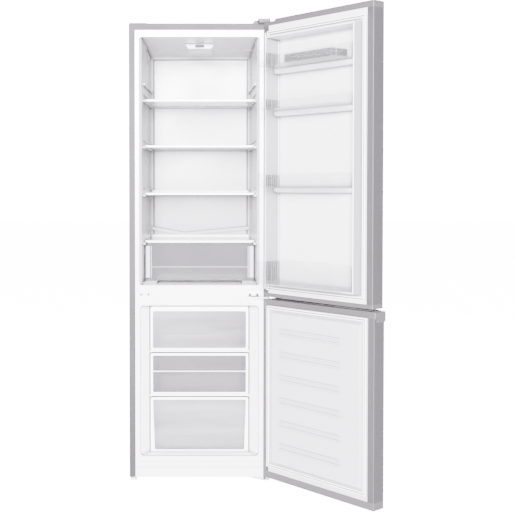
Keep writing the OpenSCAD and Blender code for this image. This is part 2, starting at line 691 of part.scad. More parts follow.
module crisper_drawer() color(clear) placed() {
    z0 = rail_z + seat_gap;
    z1 = cover_z - glass_t - 7;
    ya = shelf_y + 4;
    yb = back_y - 12;
    w = wall(ya);
    open_box(w - 11, ya, wall(yb) - 11, yb, z0, z1, 4, 14, clear_t);
    along_y(ya - 2, ya + 0.5) {
        plate([-w + 4, z0], [w - 4, z1 - seat_gap], 8);
        plate([-w + rib_w + 3, z1 - 20], [w - rib_w - 3, z1 + 4.6]);
    }
    along_y(ya - 7, ya - 1.5) plate([-w + 20, z1 - 5], [w - 20, z1 + 1]);
    for (x = [w - 26, w - 40]) both_sides() span([x, ya - 3.2, z0 + 8], [x + 4, ya - 1.5, z1 - 12]);
}

// Freezer drawer: clear box behind a front with a frame, whose window narrows downwards by lean and starts
// top below the edge, with a ledge across it where line is above zero
module freezer_drawer(z0, z1, yb, top, lean, line) {
    ya = drawer_y;
    w = side(ya) - 5;
    open_box(w - 4, ya, side(yb) - 10, yb, z0, z1, 3, 12, clear_t);
    along_y(ya - 2, ya + 1) plate([-w, z0], [w, z1], 7);
    along_y(ya - 4, ya - 1.5) difference() {
        plate([-w, z0], [w, z1], 7);
        soft([[-w + 9 + lean, z0 + 6], [w - 9 - lean, z0 + 6], [w - 9, z1 - top], [-w + 9, z1 - top]],
            [5, 5, 5, 5]);
    }
    if (line > 0) along_x(-w + 8, w - 8)
        polygon([[ya - 1.8, line - 3], [ya - 4, line - 0.5], [ya - 4, line + 1], [ya - 1.8, line + 1]]);
}
module upper_freezer_drawer() color(clear) placed()
    freezer_drawer(plate_2_z + seat_gap, freezer_top - 6, drawer_back, 18, 0, 0);
module middle_freezer_drawer() color(clear) placed()
    freezer_drawer(plate_1_z + seat_gap, plate_2_z - plate_t - 4, drawer_back, 9, 0, plate_1_z + 90);
module lower_freezer_drawer() color(clear) placed()
    freezer_drawer(freezer_floor + seat_gap, plate_1_z - plate_t - 4, step_y - 10, 9, 7, 0);

// Plan outline of a door, drawn shut and shrunk by g
module leaf(g = 0) taper(hw - g, leaf_front + g, hw - g, leaf_back - g, leaf_r - g, 3.5 - g);
module skin(z0, z1) along_z(z0, z1) difference() {
    leaf();
    leaf(sheet_t);
    plate([-hw + rim_w, leaf_back - 5], [hw - rim_w, leaf_back + 1]);
}
module filling(z0, z1) along_z(z0, z1) intersection() {
    leaf(sheet_t);
    plate([-hw, leaf_front - 1], [hw, leaf_back - liner_t]);
}
module seal(z0, z1) {
    along_y(leaf_back, leaf_back + 6) difference() {
        plate([-hw + rim_w + 1.5, z0 + 1.5], [hw - rim_w - 1.5, z1 - 1.5], 4);
        plate([-hw + rim_w + seal_w - 2, z0 + seal_w - 2], [hw - rim_w - seal_w + 2, z1 - seal_w + 2], 3);
    }
    along_y(leaf_back + 5, -seat_gap) difference() {
        plate([-hw + rim_w, z0], [hw - rim_w, z1], 5);
        plate([-hw + rim_w + seal_w, z0 + seal_w], [hw - rim_w - seal_w, z1 - seal_w], 3);
    }
}
module pin_bore(z0, z1) translate([axis_x, axis_y, z0]) cylinder(r = pin_r + run_gap, h = z1 - z0);

// Raised border of the upper door's liner and its sunk middle; g shrinks the first and grows the second
module dyke(g = 0) {
    z0 = floor_z + 8;
    z1 = ceiling(dyke_y) - 9;
    y0 = leaf_back - liner_t;
    y1 = dyke_y - g;
    intersection() {
        along_z(z0 - 20, z1 + 20) taper(dyke_x - g, y0, dyke_x - 6 - g, y1, 0, 3 - g);
        along_x(-hw, hw) soft([[y0, z0 + g], [y1, z0 + 3 + g], [y1, z1 - 3 - g], [y0, z1 - g]],
            [0, 3 - g, 3 - g, 0]);
    }
}
module pan(g = 0) {
    z0 = floor_z + 20;
    z1 = ceiling(dyke_y) - 22;
    y0 = pan_y - g;
    y1 = dyke_y + 1 - g;
    intersection() {
        along_z(z0 - 20, z1 + 20) taper(pan_x + g, y0, pan_x + 5 + g, y1, 5 + g, 0);
        along_x(-hw, hw) soft([[y0, z0 - g], [y1, z0 - 4 - g], [y1, z1 + 4 + g], [y0, z1 + g]],
            [5 + g, 0, 0, 5 + g]);
    }
}
// Lugs on which a bin hangs
module lugs(z) both_sides() along_z(z + lug_z, z + lug_z + lug_h) plate([bin_x + 3, 6], [pan_x + 4.5, 16]);

upper_z0 = upper_bot + under_cap;
upper_z1 = upper_top - upper_cap;
module upper_door_skin() color(painted) swung(upper_open) skin(upper_z0, upper_z1);
module upper_door_foam() color(foamy) swung(upper_open) difference() {
    union() {
        filling(upper_z0, upper_z1);
        dyke(liner_t);
    }
    pan(liner_t);
}
module upper_door_liner() color(white) swung(upper_open) {
    difference() {
        union() {
            along_y(leaf_back - liner_t, leaf_back) plate([-hw + rim_w, upper_z0], [hw - rim_w, upper_z1]);
            dyke();
            pan(liner_t);
        }
        difference() {
            dyke(liner_t);
            pan(liner_t);
        }
        pan();
    }
    for (z = [bin_1_z, bin_2_z, bin_3_z]) {
        intersection() {
            pan(1);
            along_x(-hw, hw) soft([[pan_y - 2, z - 20], [pan_y + 18, z - 18], [pan_y + 25, z - 11],
                [pan_y + 25, z], [pan_y - 2, z]], [0, 3, 3, 3, 0]);
        }
        lugs(z);
    }
    lugs(bin_4_z);
}
module upper_door_seal() color(white) swung(upper_open) seal(floor_z - seal_w, fridge_top + seal_w);
module upper_door_top_cap() color(grey) swung(upper_open) difference() {
    along_z(upper_z1, upper_top) leaf();
    span([hw - 60, axis_y - 22, cab_top - 1], [hw + 1, leaf_back + 1, upper_top + 1]);
    pin_bore(cab_top - pin_in - 2, cab_top);
}
module upper_door_bottom_cap() color(grey) swung(upper_open) difference() {
    along_z(upper_bot, upper_z0) leaf();
    pin_bore(upper_bot - 1, upper_bot + pin_in + 1.5);
}

lower_z0 = lower_bot + foot_cap;
lower_z1 = lower_top - lower_cap;
panel_x = hw - 49;
panel_y = leaf_back + 11.5;
panel_z0 = lower_bot + 64;
panel_z1 = lower_top - 41;
panel_slope = 8;
rib_pitch = 88;
// Shallow raised middle of the lower door's liner
module panel(g = 0) {
    y0 = leaf_back - liner_t;
    y1 = panel_y - g;
    intersection() {
        along_z(panel_z0 - 10, panel_z1 + 10) taper(panel_x - g, y0, panel_x - panel_slope - g, y1);
        along_x(-hw, hw) polygon([[y0, panel_z0 + g], [y1, panel_z0 + panel_slope + g],
            [y1, panel_z1 - panel_slope - g], [y0, panel_z1 - g]]);
    }
}
module lower_door_skin() color(painted) swung(lower_open) skin(lower_z0, lower_z1);
module lower_door_foam() color(foamy) swung(lower_open) {
    filling(lower_z0, lower_z1);
    panel(liner_t);
}
module lower_door_liner() color(white) swung(lower_open) {
    difference() {
        union() {
            along_y(leaf_back - liner_t, leaf_back) plate([-hw + rim_w, lower_z0], [hw - rim_w, lower_z1]);
            panel();
        }
        panel(liner_t);
    }
    mid_z = (panel_z0 + panel_z1) / 2;
    for (i = [-2.5:1:2.5], d = [-9, 9]) translate([0, 0, mid_z + i * rib_pitch + d]) along_z(-2.5, 2.5)
        plate([-125, panel_y - 1], [178, panel_y + 2.6], 1.2);
}
module lower_door_seal() color(white) swung(lower_open) seal(lower_bot + 49, lower_z1);
// The cap flares into a grip along the front and the free edge
module lower_door_top_cap() color(grey) swung(lower_open) {
    x0 = -hw - grip_out;
    y0 = leaf_front - grip_out;
    z0 = lower_top - grip_h;
    difference() {
        intersection() {
            along_z(z0, lower_top) soft([[x0, y0], [hw, y0], [hw, leaf_back], [x0, leaf_back]],
                [leaf_r + grip_out, leaf_r, 3.5, 3.5]);
            along_x(x0 - 1, hw + 1) polygon([[leaf_back + 1, z0], [leaf_front, z0], [y0, z0 + 13],
                [y0, lower_top - 2], [y0 + 2, lower_top], [leaf_back + 1, lower_top]]);
            along_y(y0 - 1, leaf_back + 1) polygon([[hw + 1, z0], [-hw, z0], [x0, z0 + 13],
                [x0, lower_top - 2], [x0 + 2, lower_top], [hw + 1, lower_top]]);
        }
        along_z(z0 - 1, lower_z1) leaf();
        span([x0 - 1, leaf_back - 12, z0 - 1], [hw + 1, leaf_back + 1, lower_z1]);
        span([hw - 12, y0 - 1, z0 - 1], [hw + 1, leaf_back + 1, lower_z1]);
        pin_bore(lower_top - pin_in - 1, lower_top + 1);
    }
}
module lower_door_bottom_cap() color(grey) swung(lower_open) difference() {
    along_z(lower_bot, lower_z0) leaf();
    pin_bore(lower_bot - 1, lower_bot + pin_in + 2);
}

// Door bin: clear box with upright ribs near its ends, and channels that drop over the liner's lugs
module bin(z, h) {
    open_box(bin_x, bin_y, bin_x, bin_front, z, z + h, 16, 16, clear_t);
    both_sides() {
        for (y = [0.6, 17]) span([bin_x - 1, y, z + 6], [bin_x + 7, y + 4.4, z + h - 4]);
        span([bin_x - 1, 0.6, z + lug_z + lug_h + seat_gap], [bin_x + 7, 21.4, z + lug_z + lug_h + 6]);
        for (x = [bin_x - 24:-9:bin_x - 51])
            span([x, bin_front - 1, z + 5], [x + 2.5, bin_front + 1.2, z + h - 5]);
    }
}
module top_door_bin() color(clear) swung(upper_open) bin(bin_1_z + seat_gap, top_bin_h);
module middle_door_bin() color(clear) swung(upper_open) bin(bin_2_z + seat_gap, middle_bin_h);
module lower_door_bin() color(clear) swung(upper_open) bin(bin_3_z + seat_gap, lower_bin_h);
module bottle_bin() color(clear) swung(upper_open) bin(bin_4_z + seat_gap, bottle_bin_h);

// Egg tray: a rimmed table with two rows of shallow cups
module egg_cups(r) for (i = [0:4], y = [24, 64])
    translate([egg_x0 + 26 + 47 * i, y, egg_top - 9 + cup_r]) sphere(r);
module egg_tray() color(clear) swung(upper_open) difference() {
    union() {
        difference() {
            along_z(egg_z, egg_top) plate([egg_x0, 0], [egg_x1, egg_d], 10);
            along_z(egg_z - 1, egg_top - 2) plate([egg_x0 + 2, 2], [egg_x1 - 2, egg_d - 2], 8);
        }
        intersection() {
            egg_cups(cup_r + 2);
            along_z(egg_z, egg_top - 1) plate([egg_x0 + 1, 1], [egg_x1 - 1, egg_d - 1], 9);
        }
    }
    egg_cups(cup_r);
}

cabinet_shell();
cabinet_foam();
back_panel();
fridge_liner();
freezer_liner();
mullion_strip();
kick_panel();
base_plate();
compressor_tray();
compressor();
compressor_mounts();
relay_box();
condenser();
refrigerant_pipes();
evaporation_tray();
drain_hose();
mains_inlet();
freezer_plates();
control_housing();
lamp_lens();
thermostat_wheel();
top_hinge();
middle_hinge();
bottom_hinge();
top_hinge_cover();
blanking_caps();
hinge_screws();
left_foot();
right_foot();
left_roller();
right_roller();
top_shelf_glass();
top_shelf_trim();
middle_shelf_glass();
middle_shelf_trim();
lower_shelf_glass();
lower_shelf_trim();
crisper_cover_glass();
crisper_cover_trim();
crisper_drawer();
upper_freezer_drawer();
middle_freezer_drawer();
lower_freezer_drawer();
upper_door_skin();
upper_door_foam();
upper_door_liner();
upper_door_seal();
upper_door_top_cap();
upper_door_bottom_cap();
lower_door_skin();
lower_door_foam();
lower_door_liner();
lower_door_seal();
lower_door_top_cap();
lower_door_bottom_cap();
top_door_bin();
middle_door_bin();
lower_door_bin();
bottle_bin();
egg_tray();
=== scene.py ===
import json
import math

import bmesh
import bpy
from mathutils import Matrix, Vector


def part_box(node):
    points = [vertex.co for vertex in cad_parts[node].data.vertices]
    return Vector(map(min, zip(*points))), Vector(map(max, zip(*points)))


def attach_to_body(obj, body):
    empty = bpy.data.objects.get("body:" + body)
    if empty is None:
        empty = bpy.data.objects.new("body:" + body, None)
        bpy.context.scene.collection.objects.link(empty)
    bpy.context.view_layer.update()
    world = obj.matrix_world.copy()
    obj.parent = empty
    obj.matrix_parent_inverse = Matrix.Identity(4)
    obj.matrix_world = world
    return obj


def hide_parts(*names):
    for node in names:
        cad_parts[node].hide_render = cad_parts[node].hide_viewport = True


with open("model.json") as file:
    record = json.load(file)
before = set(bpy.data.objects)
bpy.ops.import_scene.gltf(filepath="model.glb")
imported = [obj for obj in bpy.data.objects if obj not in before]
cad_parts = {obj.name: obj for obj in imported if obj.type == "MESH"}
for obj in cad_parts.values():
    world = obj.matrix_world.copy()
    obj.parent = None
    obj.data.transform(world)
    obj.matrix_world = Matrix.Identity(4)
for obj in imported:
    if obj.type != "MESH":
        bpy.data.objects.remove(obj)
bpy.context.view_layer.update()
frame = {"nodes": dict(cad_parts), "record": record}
nodeBody = {node: body for body, nodes in frame["record"]["behaviour"]["bodies"].items() for node in nodes}
nodeSlot = {part["node"]: part["material_slot"] for part in frame["record"]["subparts"]}
print("frame loaded:", len(frame["nodes"]), "nodes")


# Camera

cameraSettings = {
    "place": (0.0455, -4.0228, 1.1547),
    "focalPixels": 964.83,  # of the photograph's 515
    "centre": (210.97, 189.26),  # the pixel straight ahead of a level camera
    "imageSize": 515,
    "pitch": math.radians(1.5),
}


def makeCamera(s):
    data = bpy.data.cameras.new("camera")
    data.sensor_width = 36
    data.lens = 36 * s["focalPixels"] / s["imageSize"]
    half = s["imageSize"] / 2
    ahead = s["centre"][1] + s["focalPixels"] * math.tan(s["pitch"])
    data.shift_x = (half - s["centre"][0]) / s["imageSize"]
    data.shift_y = (ahead - half) / s["imageSize"]
    camera = bpy.data.objects.new("camera", data)
    camera.location = s["place"]
    camera.rotation_euler = (math.pi / 2 - s["pitch"], 0, 0)
    bpy.context.scene.collection.objects.link(camera)
    bpy.context.scene.camera = camera


makeCamera(cameraSettings)
print("camera made")


# Materials

def startMaterial(name):
    material = bpy.data.materials.new(name)
    material.use_nodes = True
    nodes, links = material.node_tree.nodes, material.node_tree.links
    shader = nodes["Principled BSDF"]
    where = nodes.new("ShaderNodeTexCoord")
    return material, nodes, links, shader, where.outputs["Object"]


def addNoise(nodes, links, place, scale, detail=3.0, stretch=(1, 1, 1)):
    mapping = nodes.new("ShaderNodeMapping")
    mapping.inputs["Scale"].default_value = stretch
    noise = nodes.new("ShaderNodeTexNoise")
    noise.inputs["Scale"].default_value = scale
    noise.inputs["Detail"].default_value = detail
    links.new(place, mapping.inputs["Vector"])
    links.new(mapping.outputs["Vector"], noise.inputs["Vector"])
    return noise.outputs["Fac"]


def addColours(nodes, links, factor, dark, light, spread=0.25):
    ramp = nodes.new("ShaderNodeValToRGB")
    ramp.color_ramp.elements[0].position = 0.5 - spread
    ramp.color_ramp.elements[1].position = 0.5 + spread
    ramp.color_ramp.elements[0].color = (*dark, 1)
    ramp.color_ramp.elements[1].color = (*light, 1)
    links.new(factor, ramp.inputs["Fac"])
    return ramp.outputs["Color"]


def addRange(nodes, links, factor, low, high):
    span = nodes.new("ShaderNodeMapRange")
    span.inputs["From Min"].default_value = 0.3
    span.inputs["From Max"].default_value = 0.7
    span.inputs["To Min"].default_value = low
    span.inputs["To Max"].default_value = high
    links.new(factor, span.inputs["Value"])
    return span.outputs["Result"]


def addBump(nodes, links, shader, height, depth):
    bump = nodes.new("ShaderNodeBump")
    bump.inputs["Distance"].default_value = depth
    links.new(height, bump.inputs["Height"])
    links.new(bump.outputs["Normal"], shader.inputs["Normal"])


# Colour of the painted shade laid into seams and corners
paintedShadeColour = (0.045, 0.045, 0.046)


def addPaintedShade(nodes, links, colour, depth, reach, own=False):
    # Painted shade: darkens what lies in a seam or a corner, where shade falls
    near = nodes.new("ShaderNodeAmbientOcclusion")
    near.samples = 8
    near.only_local = own  # looks at the piece alone, so that clear pieces in front of it count for nothing
    near.inputs["Distance"].default_value = reach
    span = nodes.new("ShaderNodeMapRange")
    span.inputs["From Min"].default_value = 0.45
    span.inputs["From Max"].default_value = 0.93
    span.inputs["To Min"].default_value = depth
    span.inputs["To Max"].default_value = 0.0
    mix = nodes.new("ShaderNodeMix")
    mix.data_type = "RGBA"
    mix.inputs["B"].default_value = (*paintedShadeColour, 1)
    links.new(near.outputs["AO"], span.inputs["Value"])
    links.new(span.outputs["Result"], mix.inputs["Factor"])
    links.new(colour, mix.inputs["A"])
    return mix.outputs["Result"]


def makePlastic(name, s):
    material, nodes, links, shader, place = startMaterial(name)
    cloud = addNoise(nodes, links, place, s["cloudScale"], stretch=s.get("stretch", (1, 1, 1)))
    grain = addNoise(nodes, links, place, s["grainScale"], 2)
    dark = [c * (1 - s["cloud"]) for c in s["colour"]]
    colour = addColours(nodes, links, cloud, dark, s["colour"])
    if "paintedShade" in s:
        colour = addPaintedShade(nodes, links, colour, *s["paintedShade"])
    links.new(colour, shader.inputs["Base Color"])
    links.new(addRange(nodes, links, cloud, *s["roughness"]), shader.inputs["Roughness"])
    addBump(nodes, links, shader, grain, s["grainDepth"])
    shader.inputs["IOR"].default_value = s.get("ior", 1.5)
    if "alpha" in s:
        edge = nodes.new("ShaderNodeLayerWeight")
        edge.inputs["Blend"].default_value = 0.35
        links.new(addRange(nodes, links, edge.outputs["Facing"], *s["alpha"]), shader.inputs["Alpha"])
    return material


def makeMetal(name, s):
    material, nodes, links, shader, place = startMaterial(name)
    flakes = addNoise(nodes, links, place, s["flakeScale"], 1, s.get("stretch", (1, 1, 1)))
    cloud = addNoise(nodes, links, place, 3.0)
    dark = [c * (1 - s["flake"]) for c in s["colour"]]
    links.new(addColours(nodes, links, flakes, dark, s["colour"]), shader.inputs["Base Color"])
    links.new(addRange(nodes, links, cloud, *s["roughness"]), shader.inputs["Roughness"])
    addBump(nodes, links, shader, flakes, s["flakeDepth"])
    shader.inputs["Metallic"].default_value = s["metallic"]
    shader.inputs["Coat Weight"].default_value = s.get("coat", 0)
    shader.inputs["Coat Roughness"].default_value = 0.12
    return material


metals = {
    "silverPaint": {"colour": (0.043, 0.043, 0.0443), "flake": 0.12, "metallic": 0.1, "flakeScale": 2600,
        "flakeDepth": 0.00002, "roughness": (0.55, 0.62)},
    # The silver paint made darker for the cabinet shell: painted shade
    "shellPaintedShade": {"colour": (0.009, 0.009, 0.0093), "flake": 0.12, "metallic": 0.1, "flakeScale": 2600,
        "flakeDepth": 0.00002, "roughness": (0.55, 0.62)},
    "screwZinc": {"colour": (0.02, 0.02, 0.022), "flake": 0.2, "metallic": 0.4, "flakeScale": 500,
        "flakeDepth": 0.00002, "roughness": (0.3, 0.4)},
    "zincSteel": {"colour": (0.62, 0.63, 0.65), "flake": 0.25, "metallic": 1.0, "flakeScale": 90,
        "flakeDepth": 0.00002, "roughness": (0.32, 0.45)},
    "blackEnamel": {"colour": (0.03, 0.03, 0.033), "flake": 0.2, "metallic": 0.0, "flakeScale": 400,
        "flakeDepth": 0.00008, "roughness": (0.25, 0.35), "coat": 0.3},
    "copperPipe": {"colour": (0.72, 0.40, 0.25), "flake": 0.2, "metallic": 1.0, "flakeScale": 120,
        "flakeDepth": 0.00002, "roughness": (0.25, 0.45)},
}
plastics = {
    # paintedShade gives depth, reach and piece-alone of the painted shade in seams and corners
    "linerWhite": {"colour": (0.64, 0.642, 0.645), "cloud": 0.02, "cloudScale": 4, "roughness": (0.22, 0.32),
        "grainScale": 700, "grainDepth": 0.00003, "paintedShade": (0.95, 0.02, True)},
    # Darker copies of the liner plastic for side walls, back wall and door liners: painted shade
    "linerPaintedShade": {"colour": (0.44, 0.442, 0.448), "cloud": 0.03, "cloudScale": 4, "roughness": (0.24, 0.34),
        "grainScale": 700, "grainDepth": 0.00003, "paintedShade": (0.95, 0.02, True)},
    "backPaintedShade": {"colour": (0.15, 0.151, 0.153), "cloud": 0.03, "cloudScale": 4, "roughness": (0.24, 0.34),
        "grainScale": 700, "grainDepth": 0.00003, "paintedShade": (0.95, 0.02, True)},
    # Darker liner tone for the upper door's raised border: painted shade
    "dykePaintedShade": {"colour": (0.21, 0.212, 0.217), "cloud": 0.03, "cloudScale": 4, "roughness": (0.24, 0.34),
        "grainScale": 700, "grainDepth": 0.00003, "paintedShade": (0.9, 0.01, True)},
    # Dark grey for the painted shade round the freezer's mouth and along the gutter
    "paintedShadeGrey": {"colour": (0.05, 0.05, 0.053), "cloud": 0.05, "cloudScale": 12, "roughness": (0.5, 0.6),
        "grainScale": 900, "grainDepth": 0.00003},
    # Near-black for the painted shadow in the gap between the doors and under the hinge's arm
    "shadowBlack": {"colour": (0.002, 0.002, 0.0021), "cloud": 0.05, "cloudScale": 12,
        "roughness": (0.85, 0.95), "grainScale": 900, "grainDepth": 0.00003, "ior": 1.05},
    "trimWhite": {"colour": (0.86, 0.863, 0.866), "cloud": 0.02, "cloudScale": 9, "roughness": (0.3, 0.4),
        "grainScale": 900, "grainDepth": 0.00003, "paintedShade": (0.92, 0.014)},
    "enamelWhite": {"colour": (0.86, 0.87, 0.87), "cloud": 0.03, "cloudScale": 8, "roughness": (0.2, 0.3),
        "grainScale": 300, "grainDepth": 0.00004, "paintedShade": (0.85, 0.014)},
    "capGrey": {"colour": (0.06, 0.06, 0.061), "cloud": 0.04, "cloudScale": 12, "roughness": (0.42, 0.52),
        "grainScale": 1400, "grainDepth": 0.00006},
    "coverDark": {"colour": (0.02, 0.02, 0.021), "cloud": 0.05, "cloudScale": 20, "roughness": (0.5, 0.6),
        "grainScale": 1400, "grainDepth": 0.00008},
    "mattBlack": {"colour": (0.03, 0.03, 0.032), "cloud": 0.1, "cloudScale": 20, "roughness": (0.5, 0.65),
        "grainScale": 1100, "grainDepth": 0.00008},
    "clearPlastic": {"colour": (0.3, 0.305, 0.315), "cloud": 0.02, "cloudScale": 10,
        "roughness": (0.06, 0.12), "grainScale": 60, "grainDepth": 0.0001, "alpha": (0.06, 0.5)},
    "crisperPlastic": {"colour": (0.11, 0.112, 0.117), "cloud": 0.03, "cloudScale": 8,
        "roughness": (0.1, 0.16), "grainScale": 60, "grainDepth": 0.0001, "alpha": (0.4, 0.85)},
    "crisperEdge": {"colour": (0.50, 0.505, 0.515), "cloud": 0.03, "cloudScale": 8, "roughness": (0.1, 0.16),
        "grainScale": 60, "grainDepth": 0.0001, "alpha": (0.8, 0.95)},
    # The freezer drawers' windows: a strong cloud stretched into horizontal streaks, painted reflection and
    # painted shade
    "drawerPlastic": {"colour": (0.45, 0.453, 0.468), "cloud": 0.8, "cloudScale": 1.0,
        "roughness": (0.1, 0.16), "grainScale": 60, "grainDepth": 0.0001, "alpha": (0.32, 0.8),
        "stretch": (1.5, 1.0, 12.0)},
    # A darker copy of the drawer plastic for the middle freezer drawer: painted shade
    "drawerPaintedShade": {"colour": (0.17, 0.171, 0.178), "cloud": 0.7, "cloudScale": 1.0, "roughness": (0.1, 0.16),
        "grainScale": 60, "grainDepth": 0.0001, "alpha": (0.36, 0.8), "stretch": (1.5, 1.0, 12.0)},
    "frostFrame": {"colour": (0.87, 0.88, 0.89), "cloud": 0.02, "cloudScale": 9, "roughness": (0.3, 0.4),
        "grainScale": 400, "grainDepth": 0.00005, "alpha": (0.9, 1.0), "paintedShade": (0.9, 0.01)},
    "lampPrism": {"colour": (0.62, 0.64, 0.66), "cloud": 0.03, "cloudScale": 20, "roughness": (0.12, 0.2),
        "grainScale": 90, "grainDepth": 0.0004, "alpha": (0.6, 0.9)},
    "footGrey": {"colour": (0.72, 0.72, 0.73), "cloud": 0.04, "cloudScale": 30, "roughness": (0.4, 0.5),
        "grainScale": 900, "grainDepth": 0.00005},
    # Near-black for the ribs at the clear bin ends: painted shade
    "binRibPaintedShade": {"colour": (0.03, 0.03, 0.033), "cloud": 0.03, "cloudScale": 20, "roughness": (0.1, 0.16),
        "grainScale": 60, "grainDepth": 0.0001, "alpha": (0.94, 1.0)},
    "shelfGlass": {"colour": (0.80, 0.88, 0.86), "cloud": 0.02, "cloudScale": 3, "roughness": (0.02, 0.05),
        "grainScale": 8, "grainDepth": 0.00002, "alpha": (0.12, 0.6)},
    "foamCream": {"colour": (0.85, 0.76, 0.50), "cloud": 0.15, "cloudScale": 40, "roughness": (0.8, 0.9),
        "grainScale": 500, "grainDepth": 0.0004},
    "mountRubber": {"colour": (0.03, 0.03, 0.03), "cloud": 0.1, "cloudScale": 30, "roughness": (0.7, 0.85),
        "grainScale": 900, "grainDepth": 0.0001},
    "sealWhite": {"colour": (0.88, 0.88, 0.875), "cloud": 0.03, "cloudScale": 15, "roughness": (0.5, 0.62),
        "grainScale": 700, "grainDepth": 0.00005, "paintedShade": (0.88, 0.012)},
}
materials = {name: makeMetal(name, s) for name, s in metals.items()}
materials.update({name: makePlastic(name, s) for name, s in plastics.items()})
slotMaterial = {
    "painted_silver": "silverPaint", "white_liner": "linerWhite", "white_metal": "enamelWhite",
    "grey_plastic": "capGrey", "dark_plastic": "coverDark", "black_plastic": "mattBlack",
    "clear_plastic": "clearPlastic", "shelf_glass": "shelfGlass", "foam": "foamCream",
    "zinc_steel": "zincSteel", "black_enamel": "blackEnamel", "copper_pipe": "copperPipe",
    "black_rubber": "mountRubber", "seal_white": "sealWhite",
}
print("materials made:", len(materials))


# Pieces that keep the frame's shape, with merged faces and softened edges

def linkObject(name, mesh):
    thing = bpy.data.objects.new(name, mesh)
    bpy.context.scene.collection.objects.link(thing)
    return thing


def applyModifiers(thing):
    graph = bpy.context.evaluated_depsgraph_get()
    baked = bpy.data.meshes.new_from_object(thing.evaluated_get(graph))
    thing.modifiers.clear()
    thing.data = baked
    return thing


finishing = {
    "weld": 0.000002,  # vertices closer than this become one
    "flat": 0.004,  # faces that differ less than this become one
    "sharp": math.radians(32),  # edges above it are bevelled or stay sharp
    "frost": 0.0017,  # how deep the frosted frame of a freezer drawer goes
    "facing": 0.75,  # how squarely a wall faces the side that gets painted shade, a darker tone
    "front": -0.25,  # the cabinet's front plane
    "frontSkip": 0.002,  # faces this near to it keep their tone, without painted shade
}


def mergedCopy(node, name):
    mesh = frame["nodes"][node].data.copy()
    mesh.materials.clear()
    work = bmesh.new()
    work.from_mesh(mesh)
    bmesh.ops.remove_doubles(work, verts=work.verts, dist=finishing["weld"])
    bmesh.ops.dissolve_limit(work, angle_limit=finishing["flat"], verts=work.verts, edges=work.edges)
    bmesh.ops.recalc_face_normals(work, faces=work.faces)
    markSharp(work)
    work.to_mesh(mesh)
    work.free()
    return linkObject(name, mesh)


def markSharp(work):
    for face in work.faces:
        face.smooth = True
    for edge in work.edges:
        edge.smooth = len(edge.link_faces) == 2 and edge.calc_face_angle(0) < finishing["sharp"]


def attach(piece, node):
    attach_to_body(piece, nodeBody[node])


def stand(piece, node, material):
    piece.data.materials.clear()
    piece.data.materials.append(materials[material])
    attach(piece, node)
    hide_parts(node)
    return piece


def soften(node, width, material):
    piece = mergedCopy(node, node + "_finish")
    if width > 0:
        bevel = piece.modifiers.new("bevel", "BEVEL")
        bevel.width = width
        bevel.segments = 2
        bevel.limit_method = "ANGLE"
        bevel.angle_limit = finishing["sharp"]
        weight = piece.modifiers.new("normals", "WEIGHTED_NORMAL")
        weight.keep_sharp = True
        applyModifiers(piece)
    return stand(piece, node, material)


# Width of the bevel on each piece, in metres; 0 keeps its edges
softEdges = {
    "cabinet_shell": 0.0003, "fridge_liner": 0.0015, "freezer_liner": 0.0015, "mullion_strip": 0.0005,
    "kick_panel": 0.0004, "freezer_plates": 0.0012, "control_housing": 0.002, "top_hinge_cover": 0.0012,
    "middle_hinge": 0.0006, "bottom_hinge": 0.0006, "top_shelf_trim": 0.0008, "middle_shelf_trim": 0.0008,
    "lower_shelf_trim": 0.0008, "crisper_cover_trim": 0.0008, "crisper_drawer": 0.0008, "lamp_lens": 0.0006,
    "upper_freezer_drawer": 0.0008, "middle_freezer_drawer": 0.0008, "lower_freezer_drawer": 0.0008,
    "upper_door_skin": 0.0003, "lower_door_skin": 0.0003, "upper_door_liner": 0.0015,
    "lower_door_liner": 0.0015, "upper_door_top_cap": 0.0015, "upper_door_bottom_cap": 0.0012,
    "lower_door_top_cap": 0.0012, "lower_door_bottom_cap": 0.0012, "top_door_bin": 0.0008,
    "middle_door_bin": 0.0008, "lower_door_bin": 0.0008, "bottle_bin": 0.0008, "egg_tray": 0.0006,
    "blanking_caps": 0.0008, "left_foot": 0.0008, "right_foot": 0.0008, "compressor": 0.001, "condenser": 0,
    "refrigerant_pipes": 0, "evaporation_tray": 0.0008, "relay_box": 0.001, "compressor_tray": 0.0003,
    "left_roller": 0.0006, "right_roller": 0.0006, "thermostat_wheel": 0.0003, "mains_inlet": 0.0004,
    "compressor_mounts": 0.0008, "drain_hose": 0, "top_hinge": 0.0003,
}
finishOf = {
    # The lower door's liner takes the darker liner tone all over, and the cabinet shell the darker silver
    # paint: painted shade
    "cabinet_shell": "shellPaintedShade", "lower_door_liner": "linerPaintedShade", "control_housing": "trimWhite",
    "top_shelf_trim": "trimWhite", "middle_shelf_trim": "trimWhite", "lower_shelf_trim": "trimWhite",
    "crisper_cover_trim": "trimWhite", "lamp_lens": "lampPrism", "upper_freezer_drawer": "drawerPlastic",
    # The middle freezer drawer takes the darker drawer plastic: painted shade
    "middle_freezer_drawer": "drawerPaintedShade", "lower_freezer_drawer": "drawerPlastic",
    "crisper_drawer": "crisperPlastic", "left_foot": "footGrey", "right_foot": "footGrey",
}
finished = {}
for node, width in softEdges.items():
    finished[node] = soften(node, width, finishOf.get(node, slotMaterial[nodeSlot[node]]))
print("frame pieces finished:", len(softEdges))


# Frames of the freezer drawers, which are frosted where their windows are clear

def frostFront(node):
    mesh = finished[node].data
    mesh.materials.append(materials["frostFrame"])
    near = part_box(node)[0][1] + finishing["frost"]
    for face in mesh.polygons:
        if face.center[1] < near:
            face.material_index = 1


